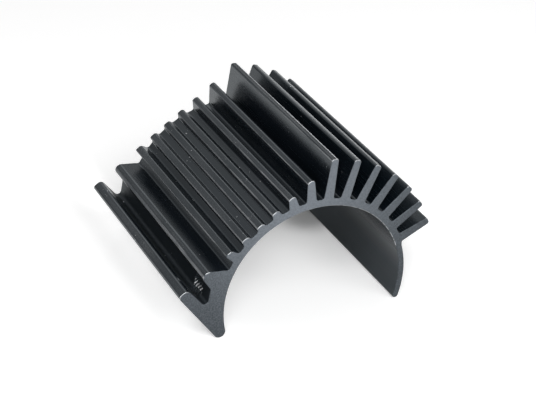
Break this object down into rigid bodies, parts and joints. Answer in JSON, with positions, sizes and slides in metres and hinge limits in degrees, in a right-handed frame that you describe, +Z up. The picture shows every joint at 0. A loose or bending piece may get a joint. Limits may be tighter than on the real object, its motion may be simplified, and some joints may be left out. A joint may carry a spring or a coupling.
{
  "type": "motor heat sink",
  "caption": "Clip-on motor heat sink: an extruded, black anodised saddle with tall fins on one side, a row of short ribs that a fan sits on, and a screw slot along the other.",
  "frame": {"origin": "on the axis of the motor can that the legs clip round, at the middle of the extrusion's length", "axes": "+Y along the motor's axis, away from the end with the screw hole; +Z up, with both leg ends level; +X towards the thin leg"},
  "size_m": [0.0504, 0.0426, 0.0327],
  "materials": {
    "anodised_aluminium": "black anodised, satin along the extrusion and dull on the sawn ends"
  },
  "bodies": {
    "root": {"heat_sink": "anodised_aluminium"}
  },
  "joints": []
}
